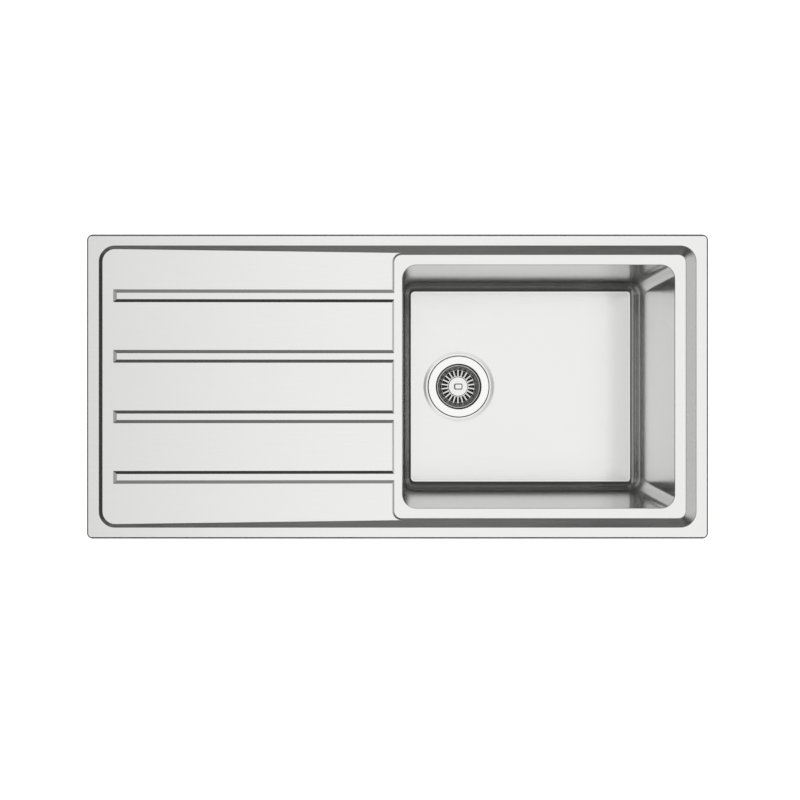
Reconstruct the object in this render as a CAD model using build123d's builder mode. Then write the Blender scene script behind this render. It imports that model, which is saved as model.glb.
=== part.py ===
from build123d import *
import math
import os

# An inset kitchen sink with a drainboard at the left and one bowl at the right.
# Millimetres. The origin is the middle of the rim's outline on the worktop's top,
# +X to the bowl's end, +Y to the back, +Z up.

os.makedirs("parts", exist_ok=True)

# ---- the deck: rim, step, drainboard and ledge ----
RIM_LENGTH = 980.0  # over the rim, left to right
RIM_DEPTH = 480.0  # over the rim, front to back
RIM_CORNER = 9.0
RIM_RISE = 4.0  # rim's top above the worktop
RIM_LIP = 3.0  # width of the turned-down edge
RIM_END = 19.5  # flat rim at the two ends
RIM_SIDE = 18.0  # flat rim at front and back
SHEET = 0.8  # stainless sheet
RECESS_CORNER = 25.0
STEP_DROP = 10.0  # from the rim down to the ledge
STEP_WIDTH = 13.0
STEP_BEND = 2.0  # radius pressed along the step's top and foot
PANEL_DROP = 3.6  # from the rim to the drainboard at its high end
CHANNEL_COUNT = 4
CHANNEL_PITCH = 95.6
CHANNEL_WIDTH = 20.2  # over its sloping sides
CHANNEL_FLOOR = 10.0
CHANNEL_DEPTH = 2.1
CHANNEL_END_GAP = 21.5  # from the recess's end to the channels' closed ends

# ---- the bowl ----
BOWL_LENGTH = 432.0
BOWL_CORNER = 22.0
BOWL_DEPTH = 200.0  # from the rim's top to the bowl's floor
BOWL_BOTTOM_BEND = 18.0
BOWL_DRAFT_END = 2.0  # how far each end wall leans in
BOWL_DRAFT_SIDE = 6.0  # how far the front and back walls lean in
LEDGE_RIGHT = 17.5
LEDGE_LEFT = 13.5
LEDGE_SIDE = 16.0
LEDGE_CORNER = 12.0
SEAM_INSET = 3.0  # from the step's foot in to the seam where the bowl's flange is welded
MOUTH_BEND = 3.0  # the flange's roll down into the bowl

# ---- the waste: cup, gaskets, body and centre screw ----
DRAIN_INSET = 103.5  # from the bowl's left wall to the drain's axis
HOLE_RADIUS = 45.0  # the bowl's standard waste hole
SEAT_RADIUS = 58.0  # flat seat pressed round the hole
SEAT_DROP = 2.2
SEAT_SLOPE = 3.0  # width of the seat's sloping edge
FLANGE_RADIUS = 56.75
FLANGE_EDGE = 2.5  # width of its turned-down edge
FLANGE_GASKET = 1.0
GASKET_INSET = 2.0  # gaskets end this far inside the flange
GASKET_LAP = 0.8  # gaskets clear the hole by this much
CUP_SHEET = 0.8
CUP_RADIUS = 40.5  # inside
CUP_DEPTH = 32.0
OUTLET_INNER = 15.0  # the cup's four outlet openings
OUTLET_OUTER = 31.0
SPOKE_WIDTH = 5.0
SPOKE_COUNT = 4
BODY_GASKET = 2.0
BODY_FLANGE = 4.0
BODY_RADIUS = 46.0  # inside
BODY_WALL = 3.0
BODY_DEPTH = 55.0  # from the gasket down to the shoulder's underside
TAIL_RADIUS = 23.9  # the standard 1 1/2 inch waste thread
TAIL_LENGTH = 37.0
HUB_RADIUS = 11.0
HUB_LENGTH = 18.0
HUB_RIB = 2.5
HUB_RIB_COUNT = 3
SCREW_HEAD_RADIUS = 12.0
SCREW_HEAD = 4.0
SCREW_RADIUS = 7.0
SCREW_LENGTH = 20.0
SOCKET_RADIUS = 4.6  # the wide mouth of the screw's bore
SOCKET_DEPTH = 10.0

# ---- the lift-out basket ----
PLUG_TRAVEL = 6.0  # from the draining position down to the closed one
SEAL_GAP = 0.3
SEAL_RADIUS = 34.0
SEAL_HUB = 16.0  # radius of the seal's raised middle, hollow over the screw's head
SEAL_RISE = 5.0
SEAL_THICK = 3.0
SEAL_TO_BASKET = 1.5  # length of the stem's shoulder between the seal and the basket
SLEEVE_RADIUS = 6.0
BASKET_SHEET = 0.7
BASKET_RADIUS = 39.6
BASKET_LIP = 1.6
BASKET_HEIGHT = 12.0
BASKET_FLOOR = 31.0
BASKET_CROWN = 17.6
BASKET_RISE = 2.0
SLOT_COUNT = 22
SLOT_WIDTH = 3.4
SLOT_MARGIN = 1.0
KNOB_RADIUS = 17.75
KNOB_DISC = 1.8
PULL_LENGTH = 15.0
PULL_WIDTH = 11.0
PULL_HEIGHT = 9.0
PULL_BEND = 1.5
STEM_RADIUS = 3.0
STEM_LENGTH = 34.0  # below the knob's disc
STEM_IN_KNOB = 6.0
RING_RADIUS = 4.3
RING_THICK = 2.0
RING_FALL = 1.0  # ring's top below the screw head's top at rest

# ---- the fixing clips ----
WORKTOP_GRIP = 40.0  # claws' tips below the worktop's top at rest
CLAW_TRAVEL = 12.0
CLIP_PITCH = 520.0
CLIP_MIDDLE = 20.0  # x halfway between the clips of a long side
CLIP_SHEET = 1.5
CLIP_WIDTH = 14.0
CLIP_BEND = 2.5
TAB_SHEET = 1.2
TAB_WIDTH = 36.0
TAB_FLANGE = 10.5
TAB_REACH = 20.0  # tab's leg below the ledge
TAB_FACE = 32.5  # from the rim's edge in to the tab's outer face
TONGUE_RISE = 6.5  # the tongue's seat above the tab's end
SLOT_HEIGHT = 2.5
TONGUE_WIDTH = 10.0
TONGUE_REACH = 5.5
TONGUE_LIP = 4.5
TONGUE_SIDE = 0.3
BRACKET_TOP = 12.0  # bracket's top below the worktop's top
FOOT_REACH = 18.5
FOOT_BELOW_CLAW = 4.5
NUT_SIDE = 8.0
NUT_HEIGHT = 3.0
SCREW_AXIS = 22.0  # from the rim's edge in to the screw's axis
FIXING_RADIUS = 2.5
FIXING_HEAD_RADIUS = 4.6
FIXING_HEAD = 3.5
FIXING_SPARE = 0.5  # head to foot when the claw is highest
NECK_RADIUS = 1.8  # turned down to hold the claw
RIVET_RADIUS = 3.4
RIVET_HEAD = 1.0
RIVET_SIDES = 12
CLAW_SHEET = 1.5
CLAW_WIDTH = 12.0
CLAW_TAIL = 6.0
CLAW_TIP = 1.0  # tip's distance inside the rim's edge
CLAW_RISE = 4.0
TOOTH_DEPTH = 1.2
TOOTH_COUNT = 3

# ---- seal and sound-deadening pads ----
SEAL_INSET = 3.4
SEAL_WIDTH = 6.0
PAD_THICK = 2.0
FLOOR_PAD_LENGTH = 340.0
FLOOR_PAD_WIDTH = 250.0
FLOOR_PAD_HOLE = 66.0
PAD_CORNER = 20.0
SIDE_PAD_LENGTH = 260.0
SIDE_PAD_HEIGHT = 90.0
DRAINER_PAD_LENGTH = 300.0
DRAINER_PAD_WIDTH = 60.0

# ---- clearances ----
RUNNING_FIT = 0.08
SEATED_FIT = 0.05

# ---- levels and places that follow ----
RIM_TOP = RIM_RISE
LEDGE_TOP = RIM_TOP - STEP_DROP
BOWL_FLOOR = RIM_TOP - BOWL_DEPTH
RECESS_LENGTH = RIM_LENGTH - 2 * RIM_END
RECESS_DEPTH = RIM_DEPTH - 2 * RIM_SIDE
FLOOR_LENGTH = RECESS_LENGTH - 2 * STEP_WIDTH
FLOOR_DEPTH = RECESS_DEPTH - 2 * STEP_WIDTH
BOWL_WIDTH = FLOOR_DEPTH - 2 * LEDGE_SIDE
BOWL_X = FLOOR_LENGTH / 2 - LEDGE_RIGHT - BOWL_LENGTH / 2
LEDGE_X = BOWL_X - BOWL_LENGTH / 2 - LEDGE_LEFT
LEDGE_LENGTH = FLOOR_LENGTH / 2 - LEDGE_X
LEDGE_MIDDLE = (FLOOR_LENGTH / 2 + LEDGE_X) / 2
STEP_LEAN = math.degrees(math.atan(STEP_WIDTH / STEP_DROP))
DEEP = 3 * STEP_DROP  # how far the pressing forms reach below the sheet
TINY = 0.01

PANEL_HIGH_X = -RECESS_LENGTH / 2
PANEL_HIGH_Z = RIM_TOP - PANEL_DROP
PANEL_END_X = LEDGE_X + STEP_WIDTH
PANEL_LOW_Z = LEDGE_TOP + CHANNEL_DEPTH
PANEL_FALL = (PANEL_HIGH_Z - PANEL_LOW_Z) / (LEDGE_X - PANEL_HIGH_X)

DRAIN_X = BOWL_X - BOWL_LENGTH / 2 + DRAIN_INSET
DRAIN_SECTION = Plane((DRAIN_X, 0, 0), x_dir=(1, 0, 0), z_dir=(0, -1, 0))
DRAIN_AXIS = Axis((DRAIN_X, 0, 0), (0, 0, 1))
SEAT_Z = BOWL_FLOOR - SEAT_DROP
FLANGE_UNDER = SEAT_Z + FLANGE_GASKET
CUP_FLOOR = BOWL_FLOOR - CUP_DEPTH
CUP_UNDER = CUP_FLOOR - CUP_SHEET
GASKET_INNER = HOLE_RADIUS + GASKET_LAP
GASKET_OUTER = FLANGE_RADIUS - GASKET_INSET
BODY_TOP = SEAT_Z - SHEET - BODY_GASKET
SHOULDER = BODY_TOP - BODY_DEPTH
TAIL_END = SHOULDER - TAIL_LENGTH
TAIL_BORE = TAIL_RADIUS - BODY_WALL
SCREW_TOP = CUP_FLOOR + SCREW_HEAD

SEAL_FOOT = CUP_FLOOR + SEAL_GAP + PLUG_TRAVEL
SEAL_TOP = SEAL_FOOT + SEAL_THICK + SEAL_RISE
CROWN_UNDER = SEAL_TOP + SEAL_TO_BASKET
CROWN_TOP = CROWN_UNDER + BASKET_SHEET
KNOB_TOP = CROWN_TOP + KNOB_DISC

TAB_END = LEDGE_TOP - TAB_REACH
TONGUE_UNDER = TAB_END + TONGUE_RISE
CLAW_TOP = -WORKTOP_GRIP
CLAW_UNDER = CLAW_TOP - CLAW_RISE
FOOT_TOP = CLAW_UNDER - FOOT_BELOW_CLAW
FOOT_UNDER = FOOT_TOP - CLIP_SHEET
HEAD_TOP = FOOT_UNDER - CLAW_TRAVEL - FIXING_SPARE
CLIP_XS = [CLIP_MIDDLE - CLIP_PITCH / 2, CLIP_MIDDLE + CLIP_PITCH / 2]


def panel_level(x):
    """Height of the drainboard's top at x."""
    return PANEL_LOW_Z + PANEL_FALL * (LEDGE_X - x)


def deck_level(x):
    """Height of the drainboard's or the ledge's top at x."""
    return panel_level(x) if x < LEDGE_X else LEDGE_TOP


def flat_edges(shape, z):
    """The edges of a shape that lie level at height z."""
    level = shape.edges().filter_by(lambda e: e.bounding_box().size.Z < TINY)
    return level.filter_by_position(Axis.Z, z - TINY, z + TINY)


def round_mouth(edge):
    """Whether an edge lies along the bowl's mouth."""
    reach = edge.center() - Vector(BOWL_X, 0, 0)
    return abs(reach.X) < BOWL_LENGTH / 2 + MOUTH_BEND and abs(reach.Y) < BOWL_WIDTH / 2 + MOUTH_BEND


def tapered_well(length, depth, corner, x=0.0):
    """The space over a rounded floor at the ledge's level, whose walls lean out to the rim."""
    with BuildPart() as well:
        with BuildSketch(Plane((x, 0, LEDGE_TOP))):
            RectangleRounded(length, depth, corner)
        extrude(amount=STEP_DROP, taper=-STEP_LEAN)
    return well.part


def channel_space():
    """The space of the drainboard's channels, down to floors that meet the ledge."""
    high_end = PANEL_HIGH_X + CHANNEL_END_GAP
    run = PANEL_END_X - high_end
    side = (CHANNEL_WIDTH - CHANNEL_FLOOR) / 2
    fall = math.degrees(math.atan(PANEL_FALL))
    board = Plane((high_end, 0, panel_level(high_end))).rotated((0, fall, 0))
    rows = [(i - (CHANNEL_COUNT - 1) / 2) * CHANNEL_PITCH for i in range(CHANNEL_COUNT)]
    with BuildPart() as channels:
        for y in rows:
            with BuildSketch(board.offset(-CHANNEL_DEPTH)):
                with Locations((side + run / 2, y)):
                    Rectangle(run, CHANNEL_FLOOR)
            with BuildSketch(board):
                with Locations(((side + run) / 2, y)):
                    Rectangle(side + run, CHANNEL_WIDTH)
            loft(ruled=True)
    return channels.part


def board_form(recess):
    """The drainboard's block inside the recess: it falls to the ledge, with its channels."""
    with BuildPart() as board:
        with BuildSketch(Plane.XZ):
            with BuildLine():
                Polyline(
                    (PANEL_HIGH_X, LEDGE_TOP),
                    (PANEL_END_X, LEDGE_TOP),
                    (PANEL_END_X, panel_level(PANEL_END_X)),
                    (PANEL_HIGH_X, PANEL_HIGH_Z),
                    close=True,
                )
            make_face()
        extrude(amount=RECESS_DEPTH / 2, both=True)
        add(tapered_well(LEDGE_LENGTH, FLOOR_DEPTH, LEDGE_CORNER, LEDGE_MIDDLE), mode=Mode.SUBTRACT)
        add(channel_space(), mode=Mode.SUBTRACT)
        add(recess, mode=Mode.INTERSECT)
    return board.part


def deck_form():
    """The solid whose top is the deck's top, without the opening for the bowl."""
    recess = tapered_well(FLOOR_LENGTH, FLOOR_DEPTH, RECESS_CORNER - STEP_WIDTH)
    with BuildPart() as form:
        with BuildSketch(Plane.XY.offset(LEDGE_TOP - DEEP)):
            RectangleRounded(RIM_LENGTH, RIM_DEPTH, RIM_CORNER)
        extrude(amount=RIM_TOP - LEDGE_TOP + DEEP)
        rim_edge = form.faces().sort_by(Axis.Z)[-1].edges()
        chamfer(rim_edge, length=RIM_RISE - SHEET, length2=RIM_LIP)
        add(recess, mode=Mode.SUBTRACT)
        add(board_form(recess))
        step_top = flat_edges(form, RIM_TOP).filter_by_position(
            Axis.X, -RECESS_LENGTH / 2 - TINY, RECESS_LENGTH / 2 + TINY
        )
        step_top = step_top.filter_by_position(Axis.Y, -RECESS_DEPTH / 2 - TINY, RECESS_DEPTH / 2 + TINY)
        fillet(step_top, STEP_BEND)
        step_foot = flat_edges(form, LEDGE_TOP).filter_by(lambda e: e.center().X > LEDGE_X + SHEET)
        fillet(step_foot, STEP_BEND)
    return form.part


def leaning_section(half, draft, depth):
    """The outline of a well that is twice half wide at its top and narrows by draft a side."""
    Polygon((-half, 0), (half, 0), (half - draft, -depth), (draft - half, -depth), align=None)


def bowl_form(wall):
    """The bowl's inside, grown outwards by wall, from its floor up to the ledge."""
    depth = LEDGE_TOP - BOWL_FLOOR + wall
    mouth = (BOWL_X, 0, LEDGE_TOP)
    with BuildPart() as form:
        with BuildSketch(Plane(mouth, x_dir=(1, 0, 0), z_dir=(0, -1, 0))):
            leaning_section(BOWL_LENGTH / 2 + wall, BOWL_DRAFT_END, depth)
        extrude(amount=BOWL_WIDTH, both=True)
        with BuildSketch(Plane(mouth, x_dir=(0, 1, 0), z_dir=(1, 0, 0))):
            leaning_section(BOWL_WIDTH / 2 + wall, BOWL_DRAFT_SIDE, depth)
        extrude(amount=BOWL_LENGTH, both=True, mode=Mode.INTERSECT)
        upright = form.edges().filter_by(lambda e: e.bounding_box().size.Z > BOWL_DEPTH / 2)
        fillet(upright, BOWL_CORNER + wall)
        fillet(form.faces().sort_by(Axis.Z)[0].edges(), BOWL_BOTTOM_BEND + wall)
    return form.part


def turned(points, skin=0.0):
    """A solid turned about the drain's axis from (radius, height) points.

    With a skin it is the sheet that thick on the left of the line, else the area inside.
    """
    with BuildPart() as piece:
        with BuildSketch(DRAIN_SECTION):
            with BuildLine():
                Polyline(*points, close=not skin)
                if skin:
                    offset(amount=skin, side=Side.LEFT, kind=Kind.INTERSECTION)
            make_face()
        revolve(axis=DRAIN_AXIS)
    return piece.part


def turned_ring(inner, outer, bottom, top):
    """A plain ring about the drain's axis."""
    return turned([(inner, bottom), (outer, bottom), (outer, top), (inner, top)])


def seat_space(below):
    """The round seat pressed into the bowl's floor, moved down by below."""
    seat = SEAT_Z - below
    floor = BOWL_FLOOR - below
    return turned([(0, seat), (SEAT_RADIUS, seat), (SEAT_RADIUS + SEAT_SLOPE, floor), (0, floor)])


def clip_places():
    """One plane for each clip: on the rim's edge, x outwards, y along the edge, z up."""
    places = []
    for side in (-1, 1):
        for x in CLIP_XS:
            places.append(Plane((x, side * RIM_DEPTH / 2, 0), x_dir=(0, side, 0)))
    for side in (-1, 1):
        places.append(Plane((side * RIM_LENGTH / 2, 0, 0), x_dir=(side, 0, 0)))
    return places


def clip_section(place):
    """The upright plane through a clip's middle: x outwards, y up."""
    return Plane(place.origin, x_dir=place.x_dir, z_dir=place.x_dir.cross(Vector(0, 0, 1)))


def clip_level(place, z):
    """The level plane at height z on a clip's screw axis."""
    return Plane(place.origin - place.x_dir * SCREW_AXIS + Vector(0, 0, z), x_dir=place.x_dir)


def tip_face(place):
    """The upright plane on the claw tip's outer face: x along the rim, y up from the tip."""
    origin = place.origin - place.x_dir * CLAW_TIP + Vector(0, 0, CLAW_TOP)
    return Plane(origin, x_dir=Vector(0, 0, 1).cross(place.x_dir), z_dir=place.x_dir)


# ---- deck ----
FORM = deck_form()
UNDER = Pos(0, 0, -SHEET) * FORM

with BuildSketch(Plane((LEDGE_MIDDLE, 0, LEDGE_TOP))) as seam:
    RectangleRounded(
        LEDGE_LENGTH - 2 * SEAM_INSET, FLOOR_DEPTH - 2 * SEAM_INSET, LEDGE_CORNER - SEAM_INSET
    )
SEAM = seam.sketch

with BuildPart() as drainer_deck:
    add(FORM)
    add(UNDER, mode=Mode.SUBTRACT)
    add(SEAM)
    extrude(amount=-SHEET, mode=Mode.SUBTRACT)
drainer_deck.part.label = "drainer_deck"
export_step(drainer_deck.part, "parts/drainer_deck.step")

# ---- bowl ----
with BuildPart() as bowl:
    add(SEAM)
    extrude(amount=-SHEET)
    add(bowl_form(SHEET))
    add(seat_space(SHEET))
    add(bowl_form(0), mode=Mode.SUBTRACT)
    add(seat_space(0), mode=Mode.SUBTRACT)
    with BuildSketch(Plane((DRAIN_X, 0, SEAT_Z))):
        Circle(HOLE_RADIUS)
    extrude(amount=-SHEET, mode=Mode.SUBTRACT)
    mouth_top = flat_edges(bowl, LEDGE_TOP).filter_by(round_mouth)
    fillet(mouth_top, MOUTH_BEND)
    mouth_under = flat_edges(bowl, LEDGE_TOP - SHEET).filter_by(round_mouth)
    fillet(mouth_under, MOUTH_BEND - SHEET)
bowl.part.label = "bowl"
export_step(bowl.part, "parts/bowl.step")

# ---- foam seal under the rim ----
with BuildPart() as rim_seal:
    with BuildSketch(Plane.XY):
        RectangleRounded(RIM_LENGTH - 2 * SEAL_INSET, RIM_DEPTH - 2 * SEAL_INSET, RIM_CORNER)
        RectangleRounded(
            RIM_LENGTH - 2 * (SEAL_INSET + SEAL_WIDTH),
            RIM_DEPTH - 2 * (SEAL_INSET + SEAL_WIDTH),
            RIM_CORNER - SEAL_WIDTH / 2,
            mode=Mode.SUBTRACT,
        )
    extrude(amount=RIM_TOP - SHEET)
rim_seal.part.label = "rim_seal"
export_step(rim_seal.part, "parts/rim_seal.step")

# ---- sound-deadening pads ----
with BuildPart() as bowl_floor_pad:
    with BuildSketch(Plane((BOWL_X, 0, BOWL_FLOOR - SHEET))):
        RectangleRounded(FLOOR_PAD_LENGTH, FLOOR_PAD_WIDTH, PAD_CORNER)
    extrude(amount=-PAD_THICK)
    with BuildSketch(Plane((DRAIN_X, 0, BOWL_FLOOR - SHEET))):
        Circle(FLOOR_PAD_HOLE)
    extrude(amount=-PAD_THICK, mode=Mode.SUBTRACT)
bowl_floor_pad.part.label = "bowl_floor_pad"
export_step(bowl_floor_pad.part, "parts/bowl_floor_pad.step")

with BuildPart() as bowl_side_pads:
    with BuildSketch(Plane.XZ):
        with Locations((BOWL_X, (BOWL_FLOOR + LEDGE_TOP) / 2)):
            RectangleRounded(SIDE_PAD_LENGTH, SIDE_PAD_HEIGHT, PAD_CORNER)
    extrude(amount=BOWL_WIDTH, both=True)
    add(bowl_form(SHEET + PAD_THICK), mode=Mode.INTERSECT)
    add(bowl_form(SHEET), mode=Mode.SUBTRACT)
bowl_side_pads.part.label = "bowl_side_pads"
export_step(bowl_side_pads.part, "parts/bowl_side_pads.step")

with BuildPart() as drainer_pads:
    with BuildSketch(Plane.XY.offset(LEDGE_TOP)):
        with GridLocations(0, CHANNEL_PITCH, 1, CHANNEL_COUNT - 1):
            with Locations(((PANEL_HIGH_X + LEDGE_X) / 2, 0)):
                RectangleRounded(DRAINER_PAD_LENGTH, DRAINER_PAD_WIDTH, PAD_CORNER)
    extrude(amount=STEP_DROP, both=True)
    add(UNDER, mode=Mode.INTERSECT)
    add(Pos(0, 0, -PAD_THICK) * UNDER, mode=Mode.SUBTRACT)
drainer_pads.part.label = "drainer_pads"
export_step(drainer_pads.part, "parts/drainer_pads.step")

# ---- waste ----
with BuildPart() as strainer_cup:
    add(
        turned(
            [
                (0, CUP_UNDER),
                (CUP_RADIUS + CUP_SHEET, CUP_UNDER),
                (CUP_RADIUS + CUP_SHEET, FLANGE_UNDER),
                (FLANGE_RADIUS - FLANGE_EDGE, FLANGE_UNDER),
                (FLANGE_RADIUS - CUP_SHEET / 2, SEAT_Z + TINY),
            ],
            skin=CUP_SHEET,
        )
    )
    with BuildSketch(Plane((DRAIN_X, 0, CUP_FLOOR))):
        Circle(OUTLET_OUTER)
        Circle(OUTLET_INNER, mode=Mode.SUBTRACT)
        with PolarLocations(0, SPOKE_COUNT // 2, angular_range=180):
            Rectangle(2 * OUTLET_OUTER, SPOKE_WIDTH, mode=Mode.SUBTRACT)
        Circle(SCREW_RADIUS + SEATED_FIT)
    extrude(amount=-CUP_SHEET, mode=Mode.SUBTRACT)
strainer_cup.part.label = "strainer_cup"
export_step(strainer_cup.part, "parts/strainer_cup.step")

with BuildPart() as flange_gasket:
    add(turned_ring(GASKET_INNER, GASKET_OUTER - FLANGE_EDGE, SEAT_Z, FLANGE_UNDER))
flange_gasket.part.label = "flange_gasket"
export_step(flange_gasket.part, "parts/flange_gasket.step")

with BuildPart() as body_gasket:
    add(turned_ring(GASKET_INNER, GASKET_OUTER, BODY_TOP, SEAT_Z - SHEET))
body_gasket.part.label = "body_gasket"
export_step(body_gasket.part, "parts/body_gasket.step")

with BuildPart() as waste_body:
    add(
        turned(
            [
                (BODY_RADIUS, BODY_TOP),
                (GASKET_OUTER, BODY_TOP),
                (GASKET_OUTER, BODY_TOP - BODY_FLANGE),
                (BODY_RADIUS + BODY_WALL, BODY_TOP - BODY_FLANGE),
                (BODY_RADIUS + BODY_WALL, SHOULDER),
                (TAIL_RADIUS, SHOULDER),
                (TAIL_RADIUS, TAIL_END),
                (TAIL_BORE, TAIL_END),
                (TAIL_BORE, SHOULDER + BODY_WALL),
                (BODY_RADIUS, SHOULDER + BODY_WALL),
            ]
        )
    )
    with BuildSketch(Plane((DRAIN_X, 0, CUP_UNDER))):
        Circle(HUB_RADIUS)
    extrude(amount=-HUB_LENGTH)
    with BuildSketch(Plane((DRAIN_X, 0, CUP_UNDER - HUB_RIB))):
        with PolarLocations(0, HUB_RIB_COUNT):
            with Locations((BODY_RADIUS / 2, 0)):
                Rectangle(BODY_RADIUS, HUB_RIB)
    extrude(amount=HUB_RIB - HUB_LENGTH)
    with BuildSketch(Plane((DRAIN_X, 0, CUP_UNDER))):
        Circle(SCREW_RADIUS + SEATED_FIT)
    extrude(amount=-HUB_LENGTH, mode=Mode.SUBTRACT)
waste_body.part.label = "waste_body"
export_step(waste_body.part, "parts/waste_body.step")

with BuildPart() as centre_screw:
    add(turned_ring(0, SCREW_HEAD_RADIUS, CUP_FLOOR, SCREW_TOP))
    add(turned_ring(0, SCREW_RADIUS, CUP_FLOOR - SCREW_LENGTH, CUP_FLOOR))
    add(turned_ring(0, SOCKET_RADIUS, SCREW_TOP - SOCKET_DEPTH, SCREW_TOP), mode=Mode.SUBTRACT)
    add(turned_ring(0, STEM_RADIUS + RUNNING_FIT, CUP_FLOOR - SCREW_LENGTH, SCREW_TOP), mode=Mode.SUBTRACT)
centre_screw.part.label = "centre_screw"
export_step(centre_screw.part, "parts/centre_screw.step")

# ---- basket ----
with BuildPart() as basket:
    add(
        turned(
            [
                (STEM_RADIUS + SEATED_FIT, CROWN_UNDER),
                (BASKET_CROWN, CROWN_UNDER),
                (BASKET_CROWN, CROWN_UNDER - BASKET_RISE),
                (BASKET_FLOOR, CROWN_UNDER - BASKET_RISE),
                (BASKET_RADIUS - BASKET_LIP, CROWN_UNDER - BASKET_RISE + BASKET_HEIGHT),
                (BASKET_RADIUS, CROWN_UNDER - BASKET_RISE + BASKET_HEIGHT),
            ],
            skin=BASKET_SHEET,
        )
    )
    with BuildSketch(Plane((DRAIN_X, 0, CROWN_TOP))):
        with PolarLocations((BASKET_CROWN + BASKET_FLOOR + BASKET_SHEET) / 2, SLOT_COUNT):
            Rectangle(BASKET_FLOOR - BASKET_CROWN - BASKET_SHEET - 2 * SLOT_MARGIN, SLOT_WIDTH)
    extrude(amount=-BASKET_HEIGHT, mode=Mode.SUBTRACT)
basket.part.label = "basket"
export_step(basket.part, "parts/basket.step")

with BuildPart() as basket_knob:
    add(turned_ring(0, KNOB_RADIUS, CROWN_TOP, KNOB_TOP))
    chamfer(basket_knob.faces().sort_by(Axis.Z)[-1].edges(), KNOB_DISC / 2)
    with BuildSketch(Plane((DRAIN_X, 0, KNOB_TOP))):
        RectangleRounded(PULL_LENGTH, PULL_WIDTH, PULL_BEND)
    extrude(amount=PULL_HEIGHT)
    chamfer(basket_knob.faces().sort_by(Axis.Z)[-1].edges(), PULL_BEND / 2)
    add(turned_ring(0, STEM_RADIUS + SEATED_FIT, CROWN_TOP, CROWN_TOP + STEM_IN_KNOB), mode=Mode.SUBTRACT)
basket_knob.part.label = "basket_knob"
export_step(basket_knob.part, "parts/basket_knob.step")

with BuildPart() as basket_stem:
    add(turned_ring(0, STEM_RADIUS, CROWN_TOP - STEM_LENGTH, CROWN_TOP + STEM_IN_KNOB))
    add(turned_ring(0, SLEEVE_RADIUS, SEAL_TOP, CROWN_UNDER))
basket_stem.part.label = "basket_stem"
export_step(basket_stem.part, "parts/basket_stem.step")

with BuildPart() as plug_seal:
    add(
        turned(
            [
                (STEM_RADIUS + SEATED_FIT, SEAL_FOOT + SEAL_RISE),
                (SEAL_HUB - SEAL_THICK, SEAL_FOOT + SEAL_RISE),
                (SEAL_HUB - SEAL_THICK, SEAL_FOOT),
                (SEAL_RADIUS, SEAL_FOOT),
                (SEAL_RADIUS, SEAL_FOOT + SEAL_THICK),
                (SEAL_HUB, SEAL_FOOT + SEAL_THICK),
                (SEAL_HUB, SEAL_TOP),
                (STEM_RADIUS + SEATED_FIT, SEAL_TOP),
            ]
        )
    )
plug_seal.part.label = "plug_seal"
export_step(plug_seal.part, "parts/plug_seal.step")

with BuildPart() as stem_ring:
    add(turned_ring(STEM_RADIUS, RING_RADIUS, SCREW_TOP - RING_FALL - RING_THICK, SCREW_TOP - RING_FALL))
stem_ring.part.label = "stem_ring"
export_step(stem_ring.part, "parts/stem_ring.step")

# ---- fixing clips ----
with BuildPart() as hanger_tabs:
    for place in clip_places():
        tab_top = deck_level(place.origin.X + RIM_SIDE) - SHEET + PANEL_FALL * TAB_WIDTH / 2
        with BuildSketch(clip_section(place)):
            with BuildLine():
                FilletPolyline(
                    (-TAB_FACE - TAB_FLANGE, tab_top),
                    (-TAB_FACE, tab_top),
                    (-TAB_FACE, TAB_END),
                    radius=2 * TAB_SHEET,
                )
                offset(amount=TAB_SHEET, side=Side.RIGHT)
            make_face()
        extrude(amount=TAB_WIDTH / 2, both=True)
    add(UNDER, mode=Mode.INTERSECT)
    for place in clip_places():
        with BuildSketch(clip_section(place)):
            with Locations((-TAB_FACE, TONGUE_UNDER)):
                Rectangle(2 * TAB_SHEET, SLOT_HEIGHT, align=(Align.MAX, Align.MIN))
        extrude(amount=TONGUE_WIDTH / 2 + TONGUE_SIDE, both=True, mode=Mode.SUBTRACT)
hanger_tabs.part.label = "hanger_tabs"
export_step(hanger_tabs.part, "parts/hanger_tabs.step")

with BuildPart() as clip_brackets:
    for place in clip_places():
        with BuildSketch(clip_section(place)):
            with BuildLine():
                FilletPolyline(
                    (-TAB_FACE, -BRACKET_TOP),
                    (-TAB_FACE, FOOT_UNDER),
                    (-TAB_FACE + FOOT_REACH, FOOT_UNDER),
                    radius=CLIP_BEND,
                )
                offset(amount=CLIP_SHEET, side=Side.LEFT)
            make_face()
        extrude(amount=CLIP_WIDTH / 2, both=True)
        with BuildSketch(clip_section(place)):
            with BuildLine():
                Polyline(
                    (-TAB_FACE + CLIP_SHEET / 2, TONGUE_UNDER),
                    (-TAB_FACE + CLIP_SHEET / 2, TONGUE_UNDER + CLIP_SHEET),
                    (-TAB_FACE - TONGUE_REACH, TONGUE_UNDER + CLIP_SHEET),
                    (-TAB_FACE - TONGUE_REACH, TONGUE_UNDER - TONGUE_LIP),
                    (-TAB_FACE - TONGUE_REACH + CLIP_SHEET, TONGUE_UNDER - TONGUE_LIP),
                    (-TAB_FACE - TONGUE_REACH + CLIP_SHEET, TONGUE_UNDER),
                    close=True,
                )
            make_face()
        extrude(amount=TONGUE_WIDTH / 2, both=True)
        with BuildSketch(clip_level(place, FOOT_TOP)):
            Rectangle(NUT_SIDE, NUT_SIDE)
        extrude(amount=NUT_HEIGHT)
        with BuildSketch(clip_level(place, FOOT_UNDER)):
            Circle(FIXING_RADIUS + RUNNING_FIT)
        extrude(amount=CLIP_SHEET + NUT_HEIGHT, mode=Mode.SUBTRACT)
clip_brackets.part.label = "clip_brackets"
export_step(clip_brackets.part, "parts/clip_brackets.step")

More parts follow.
